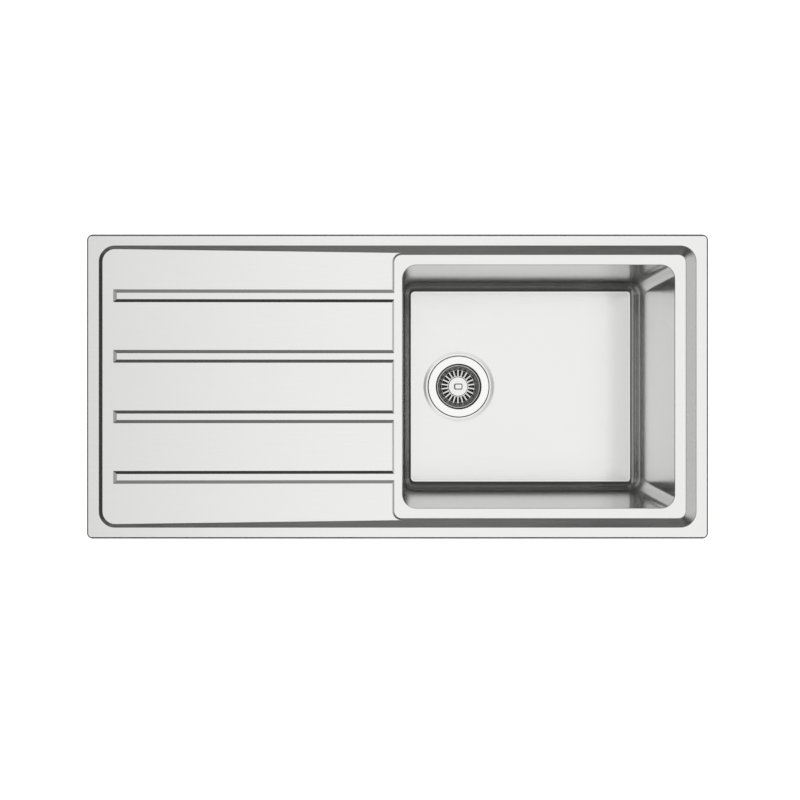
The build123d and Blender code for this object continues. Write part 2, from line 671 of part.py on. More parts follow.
for number, place in enumerate(clip_places(), start=1):
    with BuildPart() as clip_screw:
        with BuildSketch(clip_level(place, HEAD_TOP)):
            RegularPolygon(FIXING_HEAD_RADIUS, 6)
        extrude(amount=-FIXING_HEAD)
        with BuildSketch(clip_level(place, HEAD_TOP)):
            Circle(FIXING_RADIUS)
        extrude(amount=CLAW_UNDER - HEAD_TOP)
        with BuildSketch(clip_level(place, CLAW_UNDER)):
            RegularPolygon(NECK_RADIUS, RIVET_SIDES)
        extrude(amount=CLAW_SHEET + SEATED_FIT)
        with BuildSketch(clip_level(place, CLAW_UNDER + CLAW_SHEET + SEATED_FIT)):
            RegularPolygon(RIVET_RADIUS, RIVET_SIDES)
        extrude(amount=RIVET_HEAD)
    clip_screw.part.label = f"clip_screw_{number}"
    export_step(clip_screw.part, f"parts/clip_screw_{number}.step")

    with BuildPart() as clip_claw:
        with BuildSketch(clip_section(place)):
            with BuildLine():
                FilletPolyline(
                    (-SCREW_AXIS - CLAW_TAIL, CLAW_UNDER),
                    (-CLAW_TIP, CLAW_UNDER),
                    (-CLAW_TIP, CLAW_TOP),
                    radius=CLIP_BEND,
                )
                offset(amount=CLAW_SHEET, side=Side.LEFT)
            make_face()
        extrude(amount=CLAW_WIDTH / 2, both=True)
        with BuildSketch(clip_level(place, CLAW_UNDER)):
            Circle(NECK_RADIUS + RUNNING_FIT)
        extrude(amount=CLAW_SHEET, mode=Mode.SUBTRACT)
        with BuildSketch(tip_face(place)):
            for notch in range(TOOTH_COUNT - 1):
                with Locations(((notch + 1) * CLAW_WIDTH / TOOTH_COUNT - CLAW_WIDTH / 2, 0)):
                    Polygon((-TOOTH_DEPTH, 0), (0, -TOOTH_DEPTH), (TOOTH_DEPTH, 0), align=None)
        extrude(amount=-CLAW_SHEET, mode=Mode.SUBTRACT)
    clip_claw.part.label = f"clip_claw_{number}"
    export_step(clip_claw.part, f"parts/clip_claw_{number}.step")
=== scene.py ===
import logging
import math
from collections.abc import Callable
from dataclasses import dataclass, field, replace
from enum import Enum

import bmesh
import bpy
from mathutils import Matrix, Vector


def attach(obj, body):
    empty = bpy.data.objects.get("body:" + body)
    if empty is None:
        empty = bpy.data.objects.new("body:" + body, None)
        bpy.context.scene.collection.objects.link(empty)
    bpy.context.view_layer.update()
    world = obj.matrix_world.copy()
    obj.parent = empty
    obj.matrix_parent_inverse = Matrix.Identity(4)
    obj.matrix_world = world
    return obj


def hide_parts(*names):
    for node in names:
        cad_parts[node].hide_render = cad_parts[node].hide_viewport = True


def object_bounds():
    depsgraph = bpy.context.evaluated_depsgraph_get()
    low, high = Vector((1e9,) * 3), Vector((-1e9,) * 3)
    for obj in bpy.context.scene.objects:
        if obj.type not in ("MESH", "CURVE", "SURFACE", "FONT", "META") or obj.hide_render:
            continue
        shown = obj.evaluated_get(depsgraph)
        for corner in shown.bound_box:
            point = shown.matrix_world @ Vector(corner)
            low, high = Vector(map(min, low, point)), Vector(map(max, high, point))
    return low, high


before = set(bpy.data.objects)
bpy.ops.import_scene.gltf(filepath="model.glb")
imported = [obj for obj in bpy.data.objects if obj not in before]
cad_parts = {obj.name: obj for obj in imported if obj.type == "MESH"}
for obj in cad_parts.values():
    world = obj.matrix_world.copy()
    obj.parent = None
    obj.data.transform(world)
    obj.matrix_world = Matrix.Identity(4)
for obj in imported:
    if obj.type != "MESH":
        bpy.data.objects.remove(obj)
CAD_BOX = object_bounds()
LOG = logging.getLogger("sink")

MM = 0.001
SHEET = 0.8  # stainless sheet of the bowl and the cup, in mm
DRAIN_X = 111.5  # where the waste and its basket stand along X, in mm
WELD = 0.01 * MM  # vertices nearer than this become one
FINE_WELD = 0.001 * MM  # the same where insets lie very close
NEAR = 0.01  # how close in mm a place has to be to count as the same
STEP_IN = 0.02 * MM  # the least inset that keeps two loops apart
TURN = 2 * math.pi
SEGMENTS = 5  # facets of a rounded corner
CLOUDS = 6.0  # to a metre of steel, so about 167 mm each
CLOUD_SHARE = 0.35  # of the change in gloss; the streaks give the rest
STREAK_DEPTH = 0.1 * MM
PATCHES = 30.0  # to a metre of rubber or plastic, so about 33 mm each
NOISE_SPAN = (0.3, 0.7)  # where nearly all of a noise's values lie

Socket = bpy.types.NodeSocket
Colour = tuple[float, float, float, float]
Test = Callable[[Vector], bool]
Points = list[tuple[float, float]]
Bends = dict[int, float]


def linear(code: str) -> Colour:
    """Turn six hex digits of an sRGB colour into linear RGBA with full alpha."""
    parts = [int(code[i:i + 2], 16) / 255 for i in (0, 2, 4)]
    return (*(p / 12.92 if p <= 0.04045 else ((p + 0.055) / 1.055) ** 2.4 for p in parts), 1.0)


def add_node(
    tree: bpy.types.NodeTree, kind: str, inputs: dict | None = None, **settings: str | bool
) -> bpy.types.Node:
    """Add a node with its settings, values and links.

    Args:
        tree: The node tree that it joins.
        kind: The node's type name.
        inputs: By input name or index, a value to set or a socket to link.
        settings: The node's own properties.

    Returns:
        The new node.
    """
    node = tree.nodes.new(kind)
    for name, value in settings.items():
        setattr(node, name, value)
    for name, value in (inputs or {}).items():
        if isinstance(value, Socket):
            tree.links.new(value, node.inputs[name])
        else:
            node.inputs[name].default_value = value
    return node


def start_material(name: str) -> tuple[bpy.types.Material, bpy.types.NodeTree]:
    """Make a material with an empty node tree.

    Args:
        name: The material's name.

    Returns:
        The material and its tree.
    """
    made = bpy.data.materials.new(name)
    made.use_nodes = True
    made.node_tree.nodes.clear()
    return made, made.node_tree


class Element(Enum):
    """What a pick selects: its name in a mesh, and the select mode that shows it."""

    VERTS = ("verts", "VERT")
    EDGES = ("edges", "EDGE")
    FACES = ("faces", "FACE")


class Side(Enum):
    """Which side of a sheet a bend or its thickness goes to."""

    UNDER = -1
    OVER = 1


class Grain(Enum):
    """Which way a finish's streaks run: the scale of the pattern along X, Y and Z."""

    ALONG = (1.0, 16.0, 16.0)
    UPRIGHT = (16.0, 16.0, 1.0)
    EVEN = (1.0, 1.0, 1.0)


class Surface(Enum):
    """How a moulded or soft skin is broken up: noise size in mm, depth in mm, detail.

    The real grain is finer; this is as coarse as it needs to be to show.
    """

    MOULDED = (1.6, 0.03, 2.0)
    CELLS = (0.9, 0.35, 3.0)
    GRITTY = (2.5, 0.3, 5.0)


@dataclass(frozen=True)
class SteelFinish:
    """Bare or plated steel: streaks of the rolling or brushing over faint clouds.

    The streaks' width is in mm. The real ones are finer, and these are drawn as coarse as
    they need to be to show.

    Where painted shades are given, the colour is darkened by how the sheet leans, as painted
    shade for the dark that its bends and slopes mirror: each is the normal's height from 0,
    upright, to 1, level, and the colour's share there.
    """

    name: str
    colour: str
    roughness: float
    spread: float
    grain: Grain
    streak_mm: float
    bump: float
    painted_shades: tuple[tuple[float, float], ...] = ()

    def paint_shade(self, tree: bpy.types.NodeTree) -> Socket:
        """Add the nodes that paint shade into the colour by the sheet's lean.

        Args:
            tree: The material's node tree.

        Returns:
            The socket that gives the colour with its painted shade.
        """
        facing = add_node(tree, "ShaderNodeNewGeometry")
        axes = add_node(tree, "ShaderNodeSeparateXYZ", {"Vector": facing.outputs["Normal"]})
        level = add_node(tree, "ShaderNodeMath", {0: axes.outputs["Z"]}, operation="ABSOLUTE")
        ramp = add_node(tree, "ShaderNodeValToRGB", {"Fac": level.outputs[0]})
        stops = ramp.color_ramp.elements
        for number, (place, share) in enumerate(self.painted_shades):
            stop = stops[number] if number < len(stops) else stops.new(place)
            stop.position = place
            stop.color = (share, share, share, 1.0)
        return add_node(
            tree,
            "ShaderNodeMix",
            {"Factor": 1.0, "A": linear(self.colour), "B": ramp.outputs["Color"]},
            data_type="RGBA",
            blend_type="MULTIPLY",
        ).outputs[2]

    def material(self) -> bpy.types.Material:
        """Make the finish's material.

        Returns:
            The material.
        """
        made, tree = start_material(self.name)
        place = add_node(tree, "ShaderNodeTexCoord").outputs["Object"]
        stretch = add_node(tree, "ShaderNodeMapping", {"Vector": place, "Scale": self.grain.value})
        streaks = add_node(
            tree,
            "ShaderNodeTexNoise",
            {
                "Vector": stretch.outputs[0],
                "Scale": 1 / (self.streak_mm * MM * max(self.grain.value)),
                "Detail": 4.0,
                "Roughness": 0.6,
            },
        ).outputs[0]
        clouds = add_node(
            tree, "ShaderNodeTexNoise", {"Vector": place, "Scale": CLOUDS, "Detail": 3.0}
        ).outputs[0]
        both = add_node(
            tree,
            "ShaderNodeMix",
            {"Factor": CLOUD_SHARE, "A": streaks, "B": clouds},
            data_type="FLOAT",
        )
        rough = add_node(
            tree,
            "ShaderNodeMapRange",
            {
                "Value": both.outputs[0],
                "From Min": NOISE_SPAN[0],
                "From Max": NOISE_SPAN[1],
                "To Min": self.roughness - self.spread,
                "To Max": self.roughness + self.spread,
            },
        )
        bump = add_node(
            tree,
            "ShaderNodeBump",
            {"Strength": self.bump, "Distance": STREAK_DEPTH, "Height": streaks},
        )
        shader = add_node(
            tree,
            "ShaderNodeBsdfPrincipled",
            {
                # where painted shades are given, the base colour carries painted shade by how the
                # face leans
                "Base Color": self.paint_shade(tree) if self.painted_shades else linear(self.colour),
                "Metallic": 1.0,
                "Roughness": rough.outputs[0],
                "Normal": bump.outputs[0],
            },
        )
        add_node(tree, "ShaderNodeOutputMaterial", {"Surface": shader.outputs[0]})
        return made


@dataclass(frozen=True)
class SoftFinish:
    """Rubber, foam, bitumen or plastic, with two close colours and a broken skin."""

    name: str
    colour: str
    second: str
    roughness: float
    surface: Surface
    spread: float = 0.1
    bump: float = 0.6

    def material(self) -> bpy.types.Material:
        """Make the finish's material.

        Returns:
            The material.
        """
        size, depth, detail = self.surface.value
        made, tree = start_material(self.name)
        place = add_node(tree, "ShaderNodeTexCoord").outputs["Object"]
        skin = add_node(
            tree,
            "ShaderNodeTexNoise",
            {"Vector": place, "Scale": 1 / (size * MM), "Detail": detail},
        ).outputs[0]
        patches = add_node(
            tree, "ShaderNodeTexNoise", {"Vector": place, "Scale": PATCHES, "Detail": 3.0}
        ).outputs[0]
        colour = add_node(
            tree,
            "ShaderNodeMix",
            {"Factor": patches, "A": linear(self.colour), "B": linear(self.second)},
            data_type="RGBA",
        )
        rough = add_node(
            tree,
            "ShaderNodeMapRange",
            {
                "Value": skin,
                "To Min": self.roughness - self.spread,
                "To Max": self.roughness + self.spread,
            },
        )
        bump = add_node(
            tree,
            "ShaderNodeBump",
            {"Strength": self.bump, "Distance": depth * MM, "Height": skin},
        )
        shader = add_node(
            tree,
            "ShaderNodeBsdfPrincipled",
            {
                "Base Color": colour.outputs[2],
                "Roughness": rough.outputs[0],
                "Normal": bump.outputs[0],
            },
        )
        add_node(tree, "ShaderNodeOutputMaterial", {"Surface": shader.outputs[0]})
        return made


Finish = SteelFinish | SoftFinish

# Pressed sheet, satin after rolling: soft streaks along the sink that blur what it mirrors.
# The channels' sloping sides are darkened as painted shade.
SATIN_SHEET = SteelFinish(
    name="satin_stainless_sheet",
    colour="F3F3F2",
    roughness=0.19,
    spread=0.03,
    grain=Grain.ALONG,
    streak_mm=3.0,
    bump=0.12,
    painted_shades=((0.0, 1.0), (0.84, 1.0), (0.9, 0.4), (0.95, 0.4), (0.985, 1.0)),
)
# Deep-drawn sheet: bright level faces; the drafted walls and the bends are darkened as painted shade.
DRAWN_SHEET = replace(
    SATIN_SHEET,
    name="drawn_stainless_sheet",
    painted_shades=(
        (0.0, 1.0), (0.018, 1.0), (0.03, 0.66), (0.12, 0.8), (0.3, 0.74), (0.86, 0.56), (0.96, 1.0)
    ),
)
# Cup pressing: the polished level flange is the brightest ring in the bowl; every face that leans is
# darkened to about half as painted shade.
CUP_PRESSING = SteelFinish(
    name="polished_cup_pressing",
    colour="FDFDFC",
    roughness=0.12,
    spread=0.02,
    grain=Grain.EVEN,
    streak_mm=1.5,
    bump=0.05,
    painted_shades=((0.0, 0.6), (0.2, 0.55), (0.8, 0.5), (0.93, 0.5), (0.985, 1.0)),
)
# Basket pressing: a duller draw, with bright level webs over dark slots; faces that lean gently are
# darkened as painted shade.
BASKET_PRESSING = replace(
    CUP_PRESSING,
    name="polished_basket_pressing",
    colour="EDEDEC",
    roughness=0.38,
    spread=0.03,
    painted_shades=((0.0, 1.0), (0.75, 0.9), (0.88, 0.5), (0.93, 0.5), (0.985, 1.0)),
)
# Turned knob: a mirror-bright disc; its rounded edges and the pull's sides are painted near black as
# shade.
TURNED_KNOB = replace(
    CUP_PRESSING,
    name="polished_stainless_knob",
    colour="F3F3F2",
    painted_shades=((0.0, 0.1), (0.2, 0.05), (0.96, 0.05), (0.99, 1.0)),
)
# Turned bar: a little duller, with fine polishing marks along it.
TURNED_BAR = SteelFinish("turned_stainless_bar", "E4E4E2", 0.2, 0.04, Grain.UPRIGHT, 1.0, 0.15)
# Bright zinc plate: faintly blue, cloudy and duller than the sheet.
ZINC_PLATE = SteelFinish("bright_zinc_plate", "C9CDD1", 0.36, 0.08, Grain.EVEN, 2.0, 0.3)
# Mill-finish strip: grey and rather dull.
MILL_STRIP = SteelFinish("mill_finish_strip", "BDBDBB", 0.4, 0.06, Grain.ALONG, 2.0, 0.3)
# Moulded nitrile rubber: near black with a soft low sheen.
NITRILE_RUBBER = SoftFinish("moulded_nitrile_rubber", "1E1E1F", "262627", 0.55, Surface.MOULDED)
# Closed-cell foam strip: dark grey with fine cells.
FOAM_STRIP = SoftFinish("closed_cell_foam", "3B3C3D", "474849", 0.9, Surface.CELLS)
# Bitumen damping sheet: dark, matt and gritty.
BITUMEN_SHEET = SoftFinish("bitumen_damping_sheet", "2B2B2C", "383837", 0.8, Surface.GRITTY)
# Injection-moulded polypropylene: pale grey with a faint sheen.
POLYPROPYLENE = SoftFinish("moulded_polypropylene", "C4C4C0", "CCCCC8", 0.45, Surface.MOULDED)


@dataclass(frozen=True)
class Thread:
    """A thread's ridge, in mm: its radii, its rise per turn, its foot and its turns."""

    root: float
    crest: float
    pitch: float
    foot: float
    turns: int
    flat: tuple[float, float] = (0.42, 0.58)  # where its crest starts and ends, of the pitch
    steps: int = 40


@dataclass(frozen=True)
class Bend:
    """A bend of the sheet: its radius in mm, and its facets.

    Its start and end say how steep the sheet is there, from 0, level, to 90, upright.
    """

    radius: float
    start: float
    end: float
    steps: int


@dataclass
class Workbench:
    """The hand moves that shape the pieces, and what every finished piece gets."""

    finishes: dict[str, bpy.types.Material] = field(default_factory=dict)

    def finish_of(self, finish: Finish) -> bpy.types.Material:
        """Give the finish's material, made at its first use.

        Args:
            finish: The finish.

        Returns:
            Its one material.
        """
        if finish.name not in self.finishes:
            self.finishes[finish.name] = finish.material()
        return self.finishes[finish.name]

    def start(self, name: str) -> bpy.types.Object:
        """Begin a mesh as one selected vertex at the origin, in edit mode.

        Args:
            name: The new object's name.

        Returns:
            The object, in edit mode.
        """
        bpy.ops.object.select_all(action="DESELECT")
        bpy.ops.mesh.primitive_plane_add(size=MM, location=(0, 0, 0))
        piece = bpy.context.object
        piece.name = name
        bpy.ops.object.mode_set(mode="EDIT")
        bpy.ops.mesh.select_mode(type="VERT")
        bpy.ops.mesh.select_all(action="SELECT")
        bpy.ops.mesh.merge(type="CENTER")
        return piece

    def pick(self, test: Test, element: Element = Element.VERTS) -> None:
        """Select what passes a test, and nothing else.

        Args:
            test: Takes a vertex's place, or a face's or edge's middle, in mm.
            element: What it selects.
        """
        piece = bpy.context.object
        name, mode = element.value
        bpy.ops.mesh.select_mode(type=mode)
        bpy.ops.mesh.select_all(action="DESELECT")
        mesh = bmesh.from_edit_mesh(piece.data)
        for item in getattr(mesh, name):
            if element is Element.VERTS:
                middle = item.co
            else:
                middle = sum((v.co for v in item.verts), Vector()) / len(item.verts)
            if test(middle / MM):
                item.select = True
        mesh.select_flush_mode()
        bmesh.update_edit_mesh(piece.data)

    def draw(self, points: Points, bends: Bends | None = None) -> None:
        """Draw a section from the selected vertex, and round its bends.

        Args:
            points: Radii and heights in mm, in order.
            bends: By point number, how far the rounding starts from it, in mm.
        """
        places = [Vector((radius, 0, height)) for radius, height in points]
        bpy.ops.transform.translate(value=places[0] * MM)
        for here, there in zip(places, places[1:]):
            step = (there - here) * MM
            bpy.ops.mesh.extrude_region_move(TRANSFORM_OT_translate={"value": step})
        for number, reach in (bends or {}).items():
            self.pick(lambda p: (p - places[number]).length < NEAR)
            bpy.ops.mesh.bevel(
                offset=reach * MM, offset_type="ABSOLUTE", segments=SEGMENTS, affect="VERTICES"
            )

    def weld(self, reach: float = WELD) -> None:
        """Merge doubled vertices and face all normals the same way out.

        Args:
            reach: How near the vertices lie that become one, in metres.
        """
        bpy.ops.mesh.select_all(action="SELECT")
        bpy.ops.mesh.remove_doubles(threshold=reach)
        bpy.ops.mesh.normals_make_consistent(inside=False)

    def turn(self, name: str, x: float, points: Points, bends: Bends, steps: int) -> bpy.types.Object:
        """Turn a closed section round an upright axis.

        Args:
            name: The new object's name.
            x: Where the axis stands, in mm.
            points: The section's radii and heights in mm, in order.
            bends: By point number, how far its rounding reaches.
            steps: How many facets go round.

        Returns:
            The object, in object mode.
        """
        piece = self.start(name)
        self.draw(points, bends)
        bpy.ops.mesh.select_all(action="SELECT")
        bpy.ops.mesh.spin(steps=steps, angle=TURN, center=(0, 0, 0), axis=(0, 0, 1))
        self.weld()
        self.move(x)
        bpy.ops.object.mode_set(mode="OBJECT")
        return piece

    def turn_ring(
        self,
        name: str,
        x: float,
        radii: tuple[float, float],
        heights: tuple[float, float],
        bend: float,
        steps: int,
        corners: tuple[int, ...] = (1, 2),
    ) -> bpy.types.Object:
        """Turn a plain ring.

        Args:
            name: The new object's name.
            x: Where the axis stands, in mm.
            radii: Its inner and outer radius in mm.
            heights: Its foot and top in mm.
            bend: How far its rounded edges reach.
            steps: How many facets go round.
            corners: Which edges are rounded: 1 and 2 outside, 3 and 4 inside.

        Returns:
            The object, in object mode.
        """
        inner, outer = radii
        foot, top = heights
        middle = (inner + outer) / 2
        section = [
            (middle, foot), (outer, foot), (outer, top), (inner, top), (inner, foot), (middle, foot)
        ]
        return self.turn(name, x, section, dict.fromkeys(corners, bend), steps)

    def wedge(self, angle: float, steps: int) -> None:
        """Spin what is drawn through one wedge that lies evenly about the X axis.

        Args:
            angle: The wedge's angle in radians.
            steps: How many facets it has.
        """
        bpy.ops.mesh.select_all(action="SELECT")
        bpy.ops.transform.rotate(value=-angle / 2, orient_axis="Z", center_override=(0, 0, 0))
        bpy.ops.mesh.spin(steps=steps, angle=angle, center=(0, 0, 0), axis=(0, 0, 1))

    def repeat(self, times: int) -> None:
        """Copy the wedge all round the axis and close it.

        Args:
            times: How many wedges make the round.
        """
        bpy.ops.mesh.select_all(action="SELECT")
        bpy.ops.mesh.spin(
            steps=times - 1,
            dupli=True,
            angle=TURN * (times - 1) / times,
            center=(0, 0, 0),
            axis=(0, 0, 1),
        )
        self.weld()

    def spread(self, radius: float, angle: float, goal: float) -> None:
        """Move a wedge's two vertices at a radius nearer to or further from the X axis.

        Args:
            radius: Their radius in mm.
            angle: How far they lie to each side of the X axis, in radians.
            goal: How far from it they end, in mm.
        """
        side = radius * math.sin(angle)
        reach = 3 * NEAR
        self.pick(lambda p: abs(abs(p.y) - side) < reach and abs(p.xy.length - radius) < reach)
        bpy.ops.transform.resize(value=(1, goal / side, 1), center_override=(0, 0, 0))

    def carry_round(self, bend: Bend, side: Side = Side.UNDER) -> None:
        """Carry the sheet round a bend by insets of the selected level face.

        Args:
            bend: The bend.
            side: Which way the face goes.
        """
        start = math.radians(bend.start)
        turn = math.radians(bend.end - bend.start) / bend.steps
        for step in range(bend.steps):
            here, there = (start + turn * (step + k) for k in (0, 1))
            inset = bend.radius * abs(math.sin(there) - math.sin(here))
            reach = bend.radius * abs(math.cos(there) - math.cos(here))
            bpy.ops.mesh.inset(thickness=inset * MM, depth=side.value * reach * MM)

    def face_up(self, test: Test) -> None:
        """Turn an open skin so that the faces that pass the test face up.

        Args:
            test: Takes a face's middle in mm.
        """
        mesh = bmesh.from_edit_mesh(bpy.context.object.data)
        lean = sum(f.normal.z for f in mesh.faces if test(f.calc_center_median() / MM))
        if lean < 0:
            bpy.ops.mesh.select_all(action="SELECT")
            bpy.ops.mesh.flip_normals()

    def move(self, x: float) -> None:
        """Move the whole mesh in hand to its axis, which stands x mm along X."""
        bpy.ops.mesh.select_all(action="SELECT")
        bpy.ops.transform.translate(value=(x * MM, 0, 0))

    def join(self, piece: bpy.types.Object, other: bpy.types.Object) -> None:
        """Join another mesh into a piece.

        Args:
            piece: The piece that stays.
            other: What goes into it.
        """
        bpy.ops.object.select_all(action="DESELECT")
        other.select_set(True)
        piece.select_set(True)
        bpy.context.view_layer.objects.active = piece
        bpy.ops.object.join()

    def join_thread(self, piece: bpy.types.Object, x: float, thread: Thread) -> None:
        """Wind a thread's ridge up from its foot and join it to its shank.

        Args:
            piece: The shank.
            x: The axis's place along X, in mm.
            thread: The thread's form.
        """
        ridge = self.start("ridge")
        foot, pitch = thread.foot, thread.pitch
        low, high = (foot + share * pitch for share in thread.flat)
        crest, root = thread.crest, thread.root
        self.draw([(root, foot), (crest, low), (crest, high), (root, foot + pitch)])
        self.apply(
            "SCREW",
            angle=TURN,
            screw_offset=pitch * MM,
            iterations=thread.turns,
            steps=thread.steps,
            render_steps=thread.steps,
            axis="Z",
            use_merge_vertices=True,
            merge_threshold=WELD,
        )
        bpy.ops.object.mode_set(mode="EDIT")
        self.weld()
        self.move(x)
        bpy.ops.object.mode_set(mode="OBJECT")
        self.join(piece, ridge)

    def apply(self, kind: str, **settings: float | str | bool) -> None:
        """Add a modifier to the piece in hand and apply it.

        Args:
            kind: The modifier's type.
            settings: The modifier's properties.
        """
        if bpy.context.object.mode == "EDIT":
            bpy.ops.object.mode_set(mode="OBJECT")
        modifier = bpy.context.object.modifiers.new(kind.lower(), kind)
        for name, value in settings.items():
            setattr(modifier, name, value)
        bpy.ops.object.modifier_apply(modifier=modifier.name)

    def thicken(self, thickness: float, side: Side, edge: float = 0.0) -> None:
        """Give an open skin its sheet's thickness, and soften the sheet's cut edges.

        Args:
            thickness: The sheet's thickness in mm.
            side: The side of the skin that the steel lies on.
            edge: The bevel on its edges in mm, or none.
        """
        self.apply("SOLIDIFY", thickness=thickness * MM, offset=side.value, use_even_offset=True)
        if edge:
            self.apply("BEVEL", width=edge * MM, segments=2, angle_limit=math.radians(50))

    def complete(
        self,
        piece: bpy.types.Object,
        finish: Finish,
        body: str,
        slot: str,
        *nodes: str,
        angle: float = 35.0,
    ) -> None:
        """Smooth, dress and mount a finished piece.

        Args:
            piece: The piece, whose place is in its mesh.
            finish: What it is made of.
            body: The body that it rides on.
            slot: The record's material slot; not used.
            nodes: The CAD nodes that it stands for.
            angle: Edges sharper than this stay sharp, in degrees.
        """
        if bpy.context.object.mode == "EDIT":
            bpy.ops.object.mode_set(mode="OBJECT")
        bpy.ops.object.select_all(action="DESELECT")
        piece.select_set(True)
        bpy.context.view_layer.objects.active = piece
        bpy.ops.object.transform_apply(location=True, rotation=True, scale=True)
        bpy.ops.object.shade_smooth_by_angle(angle=math.radians(angle))
        self.apply("WEIGHTED_NORMAL", keep_sharp=True)
        piece.data.materials.clear()
        piece.data.materials.append(self.finish_of(finish))
        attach(piece, body)
        if nodes:
            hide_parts(*nodes)
        LOG.info("%s: %d faces", piece.name, len(piece.data.polygons))

    def dress(self, finish: Finish, *nodes: str) -> None:
        """Give carried-over CAD nodes their finish.

        Args:
            finish: What they are made of.
            nodes: The nodes' names.
        """
        for name in nodes:
            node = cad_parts[name]
            node.data.materials.clear()
            node.data.materials.append(self.finish_of(finish))
            LOG.info("%s: dressed", name)


@dataclass
class Deck:
    """The pressed deck and the foam strip under its rim, in the frame's own shapes."""

    sheet: SteelFinish = SATIN_SHEET
    strip: SoftFinish = FOAM_STRIP

    def dress(self, bench: Workbench) -> None:
        """Give the deck and its strip their finishes."""
        bench.dress(self.sheet, "drainer_deck")
        bench.dress(self.strip, "rim_seal")


@dataclass
class Bowl:
    """The deep-drawn bowl with its flange, rolled mouth, rounded bottom and waste seat."""

    seam: tuple[float, float, float] = (457.0, 412.0, 9.0)  # length, depth and corner
    seam_x: float = 226.0
    mouth: tuple[float, float, float] = (432.0, 386.0, 22.0)
    x: float = 224.0
    ledge: float = -6.0
    roll: Bend = Bend(1.0, 0.0, 90.0, 4)
    floor: float = -196.0
    wide_bend: Bend = Bend(23.86, 90.0, 25.0, 8)
    tight_bend: Bend = Bend(4.0, 25.0, 0.0, 3)
    bend_height: float = 22.0  # what both bends take between the wall and the floor
    hold: float = 1.0  # loops this far from each bend keep the flats flat
    draft_end: float = 2.0
    draft_side: float = 6.0
    drain_x: float = DRAIN_X
    seat_outer: float = 66.0
    seat_inner: float = 58.0
    seat_drop: float = 2.2
    seat_ease: tuple[float, float] = (2.0, 0.3)  # how far the slope's ends ease in and down
    hole: float = 45.0
    corner_steps: int = 12

    def outline(self, length: float, depth: float, corner: float, x: float) -> None:
        """Add an empty rounded rectangle to the mesh in hand, at the ledge's level.

        Args:
            length: Its size along X, in mm.
            depth: Its size along Y.
            corner: Its corners' radius.
            x: Its middle along X.
        """
        at = (x * MM, 0, self.ledge * MM)
        bpy.ops.mesh.primitive_plane_add(size=MM, location=at)
        bpy.ops.transform.resize(value=(length, depth, 1), center_override=at)
        bpy.ops.mesh.bevel(
            offset=corner * MM,
            offset_type="ABSOLUTE",
            segments=self.corner_steps,
            affect="VERTICES",
        )
        bpy.ops.mesh.delete(type="ONLY_FACE")

    def build(self, bench: Workbench) -> None:
        """Press the bowl from its mouth down, then seat and pierce its floor.

        Args:
            bench: The workbench.
        """
        piece = bench.start("bowl_pressing")
        bpy.ops.mesh.delete(type="VERT")
        self.open_mouth(bench)
        self.sink_walls(bench)
        self.lay_floor(bench)
        self.seat_drain(bench)
        bench.weld(FINE_WELD)
        bench.face_up(lambda p: p.z > self.ledge - NEAR)
        bench.thicken(SHEET, Side.UNDER)
        bench.complete(piece, DRAWN_SHEET, "root", "bowl_steel", "bowl", angle=40.0)

    def open_mouth(self, bench: Workbench) -> None:
        """Bridge the seam to the mouth, and fill the mouth with a face that looks up.

        Args:
            bench: The workbench.
        """
        length, depth, corner = self.mouth
        roll = self.roll.radius
        self.outline(*self.seam, self.seam_x)
        self.outline(length + 2 * roll, depth + 2 * roll, corner + roll, self.x)
        bpy.ops.mesh.select_all(action="SELECT")
        bpy.ops.mesh.bridge_edge_loops()
        half_length, half_depth = length / 2 + roll + NEAR, depth / 2 + roll + NEAR
        bench.pick(lambda p: abs(p.x - self.x) < half_length and abs(p.y) < half_depth)
        bpy.ops.mesh.edge_face_add()
        bench.pick(lambda p: abs(p.x - self.x) < NEAR and abs(p.y) < NEAR, Element.FACES)
        mesh = bmesh.from_edit_mesh(bpy.context.object.data)
        if next(f for f in mesh.faces if f.select).normal.z < 0:
            bpy.ops.mesh.flip_normals()

    def sink_walls(self, bench: Workbench) -> None:
        """Roll the mouth down, sink the drafted walls and bend them in to the floor.

        Args:
            bench: The workbench.
        """
        length, depth, _ = self.mouth
        bench.carry_round(self.roll)
        straight = self.ledge - self.roll.radius - (self.floor + self.bend_height)
        bpy.ops.mesh.inset(thickness=STEP_IN, depth=-self.hold * MM)
        bpy.ops.mesh.inset(thickness=STEP_IN, depth=-(straight - 2 * self.hold) * MM)
        draft = (1 - 2 * self.draft_end / length, 1 - 2 * self.draft_side / depth, 1)
        bpy.ops.transform.resize(value=draft, center_override=(self.x * MM, 0, 0))
        bpy.ops.mesh.inset(thickness=STEP_IN, depth=-self.hold * MM)
        bench.carry_round(self.wide_bend)
        bench.carry_round(self.tight_bend)

    def lay_floor(self, bench: Workbench) -> None:
        """Fill the floor between its bend and a circle round the waste's seat.

        Args:
            bench: The workbench.
        """
        bpy.ops.mesh.inset(thickness=self.hold * MM)
        bpy.ops.mesh.delete(type="ONLY_FACE")
        bpy.ops.mesh.primitive_circle_add(
            vertices=4 * (self.corner_steps + 1),
            radius=(self.seat_outer + self.hold) * MM,
            location=(self.drain_x * MM, 0, self.floor * MM),
        )
        bench.pick(lambda p: abs(p.z - self.floor) < NEAR, Element.EDGES)
        piece = bpy.context.object
        for edge in bmesh.from_edit_mesh(piece.data).edges:
            edge.select = edge.select and len(edge.link_faces) < 2
        bmesh.update_edit_mesh(piece.data)
        bpy.ops.mesh.fill(use_beauty=True)

